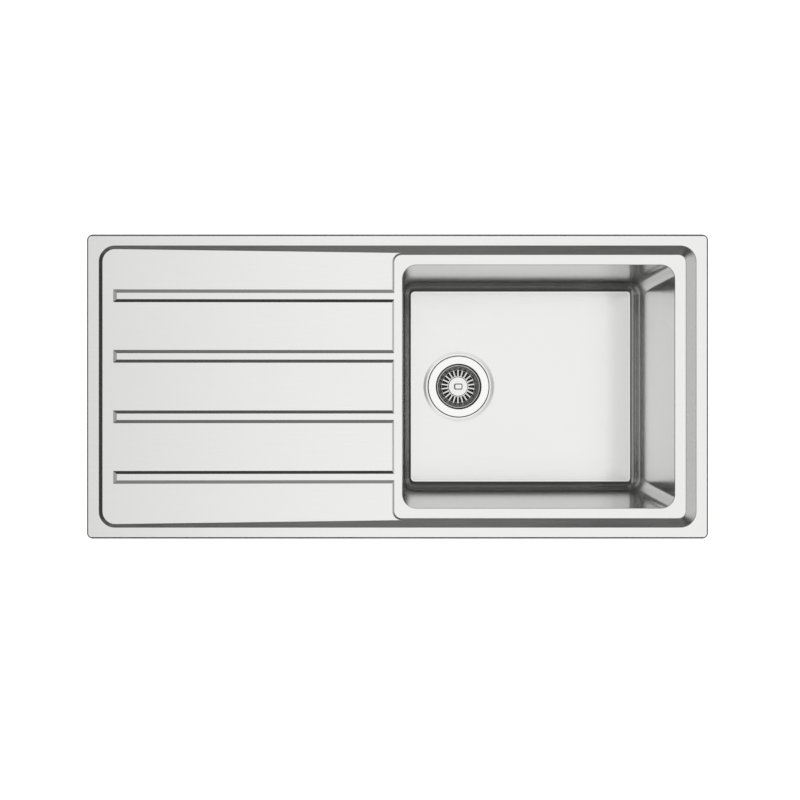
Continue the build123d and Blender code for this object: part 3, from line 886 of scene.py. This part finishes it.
    def seat_drain(self, bench: Workbench) -> None:
        """Press the round waste seat from its outer edge in to the hole.

        Args:
            bench: The workbench.
        """
        spot = Vector((self.drain_x, 0))
        radius = self.seat_outer + self.hold
        bench.pick(lambda p: abs((p.xy - spot).length - radius) < 2 * NEAR)
        lead, ease = self.seat_ease
        low = self.floor - self.seat_drop
        for goal, level in (
            (self.seat_outer, self.floor),
            (self.seat_outer - lead, self.floor - ease),
            (self.seat_inner + lead, low + ease),
            (self.seat_inner, low),
            (self.seat_inner - self.hold, low),
            (self.hole, low),
        ):
            bpy.ops.mesh.extrude_edges_move()
            share = goal / radius
            bpy.ops.transform.resize(
                value=(share, share, 1), center_override=(self.drain_x * MM, 0, 0)
            )
            mesh = bmesh.from_edit_mesh(bpy.context.object.data)
            now = next(v.co.z for v in mesh.verts if v.select)
            bpy.ops.transform.translate(value=(0, 0, level * MM - now))
            radius = goal


@dataclass
class Waste:
    """The basket waste below the bowl: cup, gaskets, moulded body and centre screw."""

    x: float = DRAIN_X
    rings: int = 80
    cup_radius: float = 40.5
    cup_floor: float = -228.0
    flange_top: float = -196.4
    flange_level: float = 54.43  # how far out the flange is level
    flange_edge: tuple[float, float] = (56.69, -197.47)
    spoke_half: float = 2.5
    outlet: tuple[float, float] = (15.0, 31.0)
    gasket_radii: tuple[float, float] = (45.8, 52.25)
    gasket_heights: tuple[float, float] = (-198.2, -197.2)
    head: float = 12.0
    head_height: float = 4.0
    shank: float = 7.0
    shank_root: float = 6.3
    shank_ease: float = 0.6
    screw_length: float = 20.0
    screw_pitch: float = 1.5
    screw_turns: int = 8
    thread_length: float = 15.0
    thread_start: float = 1.0  # how far above its end each thread starts
    recess: float = 10.0
    ridge_sunk: tuple[float, float] = (0.05, 0.1)  # of the screw's and the tail's ridges
    ring_bore: float = 4.6
    rod_bore: float = 3.08
    body_inner: float = 46.0
    body_outer: float = 49.0
    body_flange: float = 54.75
    body_lip: float = 4.0
    body_top: float = -201.0
    body_gasket: float = 2.0
    shoulder: float = -256.0
    tail_bore: float = 20.9
    tail_end: float = -293.0
    tail_root: float = 22.6
    tail_crest: float = 23.85
    tail_pitch: float = 2.31
    tail_neck: float = 3.0
    tail_ease: float = 0.8
    hub: float = 11.0
    hub_bore: float = 7.05
    hub_heights: tuple[float, float] = (-246.8, -228.8)
    rib_thick: float = 2.5
    rib_top: float = -231.3
    rib_count: int = 3
    rib_sunk: tuple[float, float] = (0.6, 0.8)  # how far its ends run into the hub and the wall
    rib_edge: float = 0.5

    def build(self, bench: Workbench) -> None:
        """Make every piece of the waste that stays in the sink.

        Args:
            bench: The workbench.
        """
        self.press_cup(bench)
        self.turn_screw(bench)
        inner, _ = self.gasket_radii
        corners = (1, 2, 3, 4)
        under = bench.turn_ring(
            "gasket_under_flange", self.x, self.gasket_radii, self.gasket_heights,
            bend=0.3, steps=self.rings, corners=corners,
        )
        bench.complete(under, NITRILE_RUBBER, "root", "black_rubber", "flange_gasket")
        over = bench.turn_ring(
            "gasket_over_body", self.x, (inner, self.body_flange),
            (self.body_top, self.body_top + self.body_gasket),
            bend=0.6, steps=self.rings, corners=corners,
        )
        bench.complete(over, NITRILE_RUBBER, "root", "black_rubber", "body_gasket")
        self.mould_body(bench)

    def press_cup(self, bench: Workbench) -> None:
        """Press the flanged cup, one quarter with its spoke first, then all four.

        Args:
            bench: The workbench.
        """
        piece = bench.start("cup_pressing")
        inner, outer = self.outlet
        floor, half = self.cup_floor, self.spoke_half
        bench.draw(
            [
                (self.hub_bore, floor),
                (inner, floor),
                (outer, floor),
                (self.cup_radius, floor),
                (self.cup_radius, self.flange_top),
                (self.flange_level, self.flange_top),
                self.flange_edge,
            ],
            {3: 4.0, 4: 1.8, 5: 0.8},
        )
        steps = self.rings // 4
        bench.wedge(TURN / 4, steps)
        facet = TURN / 4 / steps
        for radius in (inner, outer):
            bench.spread(radius, 2 * facet, half)
        beyond = half + 0.4  # past the middles of the spoke's own faces
        bench.pick(
            lambda p: abs(p.z - floor) < NEAR
            and abs(p.y) > beyond
            and inner < p.xy.length < outer,
            Element.FACES,
        )
        bpy.ops.mesh.delete(type="FACE")
        bench.repeat(4)
        bench.face_up(lambda p: p.z > self.flange_top - NEAR)
        bench.move(self.x)
        bench.thicken(SHEET, Side.UNDER, edge=0.12)
        bench.complete(piece, CUP_PRESSING, "root", "waste_steel", "strainer_cup")

    def turn_screw(self, bench: Workbench) -> None:
        """Turn the hollow centre screw, with the thread cut on its shank.

        Args:
            bench: The workbench.
        """
        top = self.cup_floor + self.head_height
        foot = self.cup_floor - self.screw_length
        neck = foot + self.thread_length
        seat = top - self.recess
        start = top - self.recess / 2
        section = [
            (self.ring_bore, start),
            (self.ring_bore, top),
            (self.head, top),
            (self.head, self.cup_floor),
            (self.shank, self.cup_floor),
            (self.shank, neck),
            (self.shank_root, neck - self.shank_ease),
            (self.shank_root, foot),
            (self.rod_bore, foot),
            (self.rod_bore, seat),
            (self.ring_bore, seat),
            (self.ring_bore, start),
        ]
        piece = bench.turn("hollow_screw", self.x, section, {1: 0.5, 2: 1.2, 7: 0.5}, steps=48)
        sunk, _ = self.ridge_sunk
        thread = Thread(
            root=self.shank_root - sunk,
            crest=self.shank,
            pitch=self.screw_pitch,
            foot=foot + self.thread_start,
            turns=self.screw_turns,
        )
        bench.join_thread(piece, self.x, thread)
        bench.complete(piece, TURNED_BAR, "root", "stem_steel", "centre_screw")

    def mould_body(self, bench: Workbench) -> None:
        """Mould the funnel with its flange, hub, ribs and threaded tail.

        Args:
            bench: The workbench.
        """
        top, shoulder, tail = self.body_top, self.shoulder, self.tail_end
        wall = self.body_outer - self.body_inner
        under, neck = top - self.body_lip, shoulder - self.tail_neck
        start = top - 20  # somewhere on the straight inside of the wall
        section = [
            (self.body_inner, start),
            (self.body_inner, top),
            (self.body_flange, top),
            (self.body_flange, under),
            (self.body_outer, under),
            (self.body_outer, shoulder),
            (self.tail_crest, shoulder),
            (self.tail_crest, neck),
            (self.tail_root, neck - self.tail_ease),
            (self.tail_root, tail),
            (self.tail_bore, tail),
            (self.tail_bore, shoulder + wall),
            (self.body_inner, shoulder + wall),
            (self.body_inner, start),
        ]
        bends = {2: 0.6, 3: 0.6, 4: 1.5, 5: 4.0, 6: 1.2, 9: 0.6, 10: 0.5, 11: 2.0, 12: 3.0}
        piece = bench.turn("moulded_waste_body", self.x, section, bends, self.rings)
        self.add_ribs()
        hub = bench.turn_ring(
            "hub", self.x, (self.hub_bore, self.hub), self.hub_heights, bend=0.6, steps=48
        )
        bench.join(piece, hub)
        _, sunk = self.ridge_sunk
        thread = Thread(
            root=self.tail_root - sunk,
            crest=self.tail_crest,
            pitch=self.tail_pitch,
            foot=tail + self.thread_start,
            turns=int((neck - self.thread_start - tail) / self.tail_pitch) - 1,
        )
        bench.join_thread(piece, self.x, thread)
        bench.complete(piece, POLYPROPYLENE, "root", "waste_plastic", "waste_body")

    def add_ribs(self) -> None:
        """Add the ribs that hold the hub to the funnel in hand."""
        low, _ = self.hub_heights
        at_hub, at_wall = self.rib_sunk
        start = self.hub - at_hub
        reach = self.body_inner + at_wall - start
        height = self.rib_top - low
        middle = start + reach / 2
        bpy.ops.object.mode_set(mode="EDIT")
        for number in range(self.rib_count):
            turn = number * TURN / self.rib_count
            x, y = self.x + middle * math.cos(turn), middle * math.sin(turn)
            at = Vector((x, y, low + height / 2)) * MM
            bpy.ops.mesh.select_all(action="DESELECT")
            bpy.ops.mesh.primitive_cube_add(size=MM, location=at)
            bpy.ops.transform.resize(value=(reach, self.rib_thick, height), center_override=at)
            bpy.ops.transform.rotate(value=-turn, orient_axis="Z", center_override=at)
            bpy.ops.mesh.bevel(offset=self.rib_edge * MM, segments=2, affect="EDGES")
        bpy.ops.object.mode_set(mode="OBJECT")


@dataclass
class Basket:
    """The lift-out basket with its knob, rod, plug and ring."""

    x: float = DRAIN_X
    sheet: float = 0.7
    slots: int = 22
    slot: tuple[float, float] = (19.3, 30.0)
    slot_round: float = 0.45  # how far a slot's corners draw in along it
    slot_nip: float = 0.2  # how far they draw in across it
    slot_end: float = 1.0  # the length that both take
    web: float = 2.5
    crown: float = 17.6
    crown_under: float = -212.2
    floor: float = -214.2
    foot: float = 31.0
    mouth: tuple[float, float] = (38.0, -202.2)
    lip: tuple[float, float] = (39.6, -203.1)
    knob: float = 17.75
    knob_loop: float = 8.0  # a loop on the disc's flat top
    knob_heights: tuple[float, float] = (-211.5, -209.7)
    pull_size: tuple[float, float] = (15.0, 11.0)
    pull_height: float = 9.0
    pull_corner: float = 2.6
    pull_edge: Bend = Bend(2.2, 90.0, 0.0, 4)
    pull_sunk: float = 0.3  # how far the pull starts inside the disc
    rod: float = 3.0
    bore: float = 3.05  # of the pieces that sit on the rod
    rod_heights: tuple[float, float] = (-245.5, -205.5)
    collar: float = 6.0
    collar_heights: tuple[float, float] = (-213.7, -212.2)
    plug: float = 34.0
    plug_heights: tuple[float, float] = (-221.7, -218.7)
    boss: float = 16.0
    boss_hollow: tuple[float, float] = (13.0, -216.7)
    ring: float = 4.3
    ring_heights: tuple[float, float] = (-227.0, -225.0)

    def build(self, bench: Workbench) -> None:
        """Make every piece that lifts out with the basket.

        Args:
            bench: The workbench.
        """
        self.press_strainer(bench)
        self.turn_knob(bench)
        self.turn_rod(bench)
        self.mould_plug(bench)
        ring = bench.turn_ring(
            "ring_on_rod", self.x, (self.rod, self.ring), self.ring_heights, bend=0.6, steps=32
        )
        bench.complete(ring, NITRILE_RUBBER, "basket", "black_rubber", "stem_ring")

    def press_strainer(self, bench: Workbench) -> None:
        """Press the slotted basket: one slot's wedge first, then all round.

        Args:
            bench: The workbench.
        """
        piece = bench.start("slotted_basket")
        start, end = self.slot
        under, floor, web = self.crown_under, self.floor, self.web
        rings = (start, start + self.slot_end, (start + end) / 2, end - self.slot_end, end)
        bench.draw(
            [
                (self.bore, under),
                (self.crown, under),
                (self.crown, floor),
                *((radius, floor) for radius in rings),
                (self.foot, floor),
                self.mouth,
                self.lip,
            ],
            {1: 0.6, 2: 0.6, 8: 0.8, 9: 0.9},
        )
        turn = TURN / self.slots
        bench.wedge(turn, 6)
        pulls = (self.slot_round, 0.0, 0.0, 0.0, -self.slot_round)
        for radius, pull in zip(rings, pulls):
            nip = self.slot_nip if pull else 0.0
            bench.spread(radius, turn / 3, (radius * turn - web) / 2 - nip)
            bpy.ops.transform.translate(value=(pull * MM, 0, 0))
        beside = web / 2 + 0.1  # past the middles of the web's own faces
        bench.pick(
            lambda p: abs(p.y) < p.x * turn / 2 - beside
            and start < p.x < end
            and p.z < floor + NEAR,
            Element.FACES,
        )
        bpy.ops.mesh.delete(type="FACE")
        bench.repeat(self.slots)
        bench.face_up(lambda p: abs(p.z - under) < NEAR)
        bench.move(self.x)
        bench.thicken(self.sheet, Side.OVER, edge=0.1)
        bench.complete(piece, BASKET_PRESSING, "basket", "basket_steel", "basket")

    def turn_knob(self, bench: Workbench) -> None:
        """Turn the knob's disc and raise the plain pull on it.

        Args:
            bench: The workbench.
        """
        low, high = self.knob_heights
        section = [
            (self.bore, low + 1), (self.bore, low), (self.knob, low), (self.knob, high),
            (self.knob_loop, high), (0, high),
        ]
        piece = bench.turn("knob_and_pull", self.x, section, {3: 0.9}, steps=64)
        bpy.ops.object.mode_set(mode="EDIT")
        bpy.ops.mesh.select_all(action="DESELECT")
        at = (self.x * MM, 0, (high - self.pull_sunk) * MM)
        bpy.ops.mesh.primitive_plane_add(size=MM, location=at)
        bpy.ops.transform.resize(value=(*self.pull_size, 1), center_override=at)
        bpy.ops.mesh.bevel(
            offset=self.pull_corner * MM,
            offset_type="ABSOLUTE",
            segments=SEGMENTS,
            affect="VERTICES",
        )
        rise = (self.pull_height + self.pull_sunk - self.pull_edge.radius) * MM
        bpy.ops.mesh.extrude_region_move(TRANSFORM_OT_translate={"value": (0, 0, rise)})
        bench.carry_round(self.pull_edge, Side.OVER)
        bench.complete(piece, TURNED_KNOB, "basket", "knob_steel", "basket_knob")

    def turn_rod(self, bench: Workbench) -> None:
        """Turn the rod with the collar that the basket rests on.

        Args:
            bench: The workbench.
        """
        foot, top = self.rod_heights
        low, high = self.collar_heights
        section = [
            (0, foot), (self.rod, foot), (self.rod, low), (self.collar, low), (self.collar, high),
            (self.rod, high), (self.rod, top), (0, top),
        ]
        piece = bench.turn("plug_rod", self.x, section, {1: 0.8, 3: 0.3, 4: 0.3}, steps=32)
        bench.complete(piece, TURNED_BAR, "basket", "stem_steel", "basket_stem")

    def mould_plug(self, bench: Workbench) -> None:
        """Mould the plug: a thin disc under a hollow boss.

        Args:
            bench: The workbench.
        """
        bore = self.bore
        foot, top = self.plug_heights
        hollow, ceiling = self.boss_hollow
        boss_top, _ = self.collar_heights
        section = [
            (bore, ceiling), (hollow, ceiling), (hollow, foot), (self.plug, foot), (self.plug, top),
            (self.boss, top), (self.boss, boss_top), (bore, boss_top), (bore, ceiling),
        ]
        bends = {1: 1.0, 2: 0.6, 3: 1.0, 4: 1.2, 5: 1.2, 6: 1.5}
        piece = bench.turn("moulded_plug", self.x, section, bends, steps=64)
        bench.complete(piece, NITRILE_RUBBER, "basket", "black_rubber", "plug_seal")


@dataclass
class Pads:
    """The sound-deadening pads under the floor, the walls and the drainboard."""

    sheet: SoftFinish = BITUMEN_SHEET

    def dress(self, bench: Workbench) -> None:
        """Give the pads their finish."""
        bench.dress(self.sheet, "bowl_floor_pad", "bowl_side_pads", "drainer_pads")


@dataclass
class Clips:
    """The worktop fixings: tabs, brackets, screws and claws, in the frame's own shapes."""

    strip: SteelFinish = MILL_STRIP
    plate: SteelFinish = ZINC_PLATE
    count: int = 6

    def dress(self, bench: Workbench) -> None:
        """Give the fixings their finishes.

        Args:
            bench: The workbench.
        """
        bench.dress(self.strip, "hanger_tabs")
        bench.dress(self.plate, "clip_brackets")
        for number in range(1, self.count + 1):
            bench.dress(self.plate, f"clip_screw_{number}", f"clip_claw_{number}")


@dataclass(frozen=True)
class Ramp:
    """A smooth ramp: where it starts and ends, and its level before and after."""

    start: float
    end: float
    before: float
    after: float


@dataclass
class Studio:
    """The plain floor, the soft light and the camera straight above the sink.

    The light is a soft box overhead that pales to the left, a low wall of light at the
    left, faint ends and a horizon. Its ramps run over slopes, which are X or Y over Z of
    the way to the light: 0 overhead and 1 half-way down. The horizon's run over Z.
    """

    camera_height: float = 1.267
    view_angle: float = 53.0
    shift: tuple[float, float] = (0.0031, -0.0168)
    floor_size: float = 1.7
    floor_gap: float = 0.001
    floor_glow: float = 0.75
    box_right: Ramp = Ramp(0.6, 0.85, 1.0, 0.0)
    box_fall: Ramp = Ramp(-0.5, 0.0, 0.8, 1.0)
    box_left: Ramp = Ramp(-0.72, -0.46, 0.0, 1.0)
    box_side: Ramp = Ramp(0.55, 1.25, 1.0, 0.0)
    wall_top: Ramp = Ramp(-1.3, -0.85, 0.62, 0.0)
    wall_side: Ramp = Ramp(1.2, 2.6, 1.0, 0.1)
    wall_foot: Ramp = Ramp(-2.3, -1.6, 0.0, 1.0)
    end_top: Ramp = Ramp(1.2, 2.0, 0.0, 0.1)
    end_side: Ramp = Ramp(0.2, 0.8, 1.0, 0.1)
    horizon_top: Ramp = Ramp(0.27, 0.37, 0.6, 0.0)
    horizon_foot: Ramp = Ramp(-0.14, -0.04, 0.0, 1.0)
    spill: float = 0.035
    level: float = 0.92
    least_rise: float = 0.02  # keeps the slopes finite at the horizon

    def light(self) -> None:
        """Light the sink from all round, and show the camera plain white beyond the floor."""
        world = bpy.data.worlds.new("studio")
        bpy.context.scene.world = world
        world.use_nodes = True
        tree = world.node_tree
        tree.nodes.clear()
        paths = add_node(tree, "ShaderNodeLightPath")
        strength = add_node(
            tree,
            "ShaderNodeMix",
            {"Factor": paths.outputs["Is Camera Ray"], "A": self.brightness(tree), "B": 1.0},
            data_type="FLOAT",
        )
        background = add_node(
            tree, "ShaderNodeBackground", {"Color": (1, 1, 1, 1), "Strength": strength.outputs[0]}
        )
        add_node(tree, "ShaderNodeOutputWorld", {"Surface": background.outputs[0]})

    def brightness(self, tree: bpy.types.NodeTree) -> Socket:
        """Add the nodes that say how bright the studio is each way.

        Args:
            tree: The world's node tree.

        Returns:
            The socket that gives the brightness.
        """
        way = add_node(tree, "ShaderNodeTexCoord")
        axes = add_node(tree, "ShaderNodeSeparateXYZ", {"Vector": way.outputs["Generated"]})
        x, y, z = axes.outputs
        rise = add_node(tree, "ShaderNodeMath", {0: z, 1: self.least_rise}, operation="MAXIMUM")
        up = rise.outputs[0]
        slope_x, slope_y = (
            add_node(tree, "ShaderNodeMath", {0: side, 1: up}, operation="DIVIDE").outputs[0]
            for side in (x, y)
        )
        slant_x, slant_y = (
            add_node(tree, "ShaderNodeMath", {0: slope}, operation="ABSOLUTE").outputs[0]
            for slope in (slope_x, slope_y)
        )
        box = self.panel(
            tree,
            (slope_x, self.box_right),
            (slope_x, self.box_fall),
            (slant_y, self.box_side),
            (slope_x, self.box_left),
        )
        wall = self.panel(
            tree, (slope_x, self.wall_top), (slant_y, self.wall_side), (slope_x, self.wall_foot)
        )
        ends = self.panel(tree, (slant_y, self.end_top), (slant_x, self.end_side))
        horizon = self.panel(tree, (z, self.horizon_top), (z, self.horizon_foot))
        light = box
        for operation, other in (
            ("MAXIMUM", wall),
            ("MAXIMUM", ends),
            ("ADD", self.spill),
            ("MULTIPLY", self.level),
            ("MAXIMUM", horizon),
        ):
            light = add_node(
                tree, "ShaderNodeMath", {0: light, 1: other}, operation=operation
            ).outputs[0]
        return light

    def panel(self, tree: bpy.types.NodeTree, *edges: tuple[Socket, Ramp]) -> Socket:
        """Add the nodes of one bright panel of the studio.

        Args:
            tree: The world's node tree.
            edges: What each of its soft edges reads, and the ramp there.

        Returns:
            The socket that gives its brightness.
        """
        light = 1.0
        for value, ramp in edges:
            edge = add_node(
                tree,
                "ShaderNodeMapRange",
                {
                    "Value": value,
                    "From Min": ramp.start,
                    "From Max": ramp.end,
                    "To Min": ramp.before,
                    "To Max": ramp.after,
                },
                interpolation_type="SMOOTHSTEP",
            )
            light = add_node(
                tree, "ShaderNodeMath", {0: light, 1: edge.outputs[0]}, operation="MULTIPLY"
            ).outputs[0]
        return light

    def lay_floor(self) -> None:
        """Lay the pale floor under the lowest piece."""
        bpy.ops.object.select_all(action="DESELECT")
        level = CAD_BOX[0][2] - self.floor_gap
        bpy.ops.mesh.primitive_plane_add(size=self.floor_size, location=(0, 0, level))
        floor = bpy.context.object
        floor.name = "floor"
        made, tree = start_material("pale_floor")
        paths = add_node(tree, "ShaderNodeLightPath").outputs
        seen = add_node(
            tree,
            "ShaderNodeMath",
            {0: paths["Is Camera Ray"], 1: paths["Is Glossy Ray"]},
            operation="MAXIMUM",
        )
        glow = add_node(
            tree,
            "ShaderNodeMath",
            {0: seen.outputs[0], 1: self.floor_glow},
            operation="MULTIPLY",
        )
        shader = add_node(
            tree,
            "ShaderNodeBsdfPrincipled",
            {
                "Base Color": linear("F2F2F2"),
                "Roughness": 0.9,
                "Emission Color": linear("FFFFFF"),
                "Emission Strength": glow.outputs[0],
            },
        )
        add_node(tree, "ShaderNodeOutputMaterial", {"Surface": shader.outputs[0]})
        floor.data.materials.append(made)

    def place_camera(self) -> None:
        """Set the camera over the sink's middle, looking straight down."""
        camera = bpy.data.cameras.new("camera")
        camera.angle = math.radians(self.view_angle)
        camera.shift_x, camera.shift_y = self.shift
        holder = bpy.data.objects.new("camera", camera)
        bpy.context.scene.collection.objects.link(holder)
        holder.location = (0.0, 0.0, self.camera_height)
        bpy.context.scene.camera = holder

    def build(self) -> None:
        """Set up the floor, light and camera."""
        self.lay_floor()
        self.light()
        self.place_camera()
        bpy.context.scene.view_settings.view_transform = "Standard"


def main() -> None:
    """Build the sink's looks around its frame."""
    logging.basicConfig(level=logging.INFO)
    bench = Workbench()
    Deck().dress(bench)
    Bowl().build(bench)
    Waste().build(bench)
    Basket().build(bench)
    Pads().dress(bench)
    Clips().dress(bench)
    Studio().build()


if __name__ == "__main__":
    main()
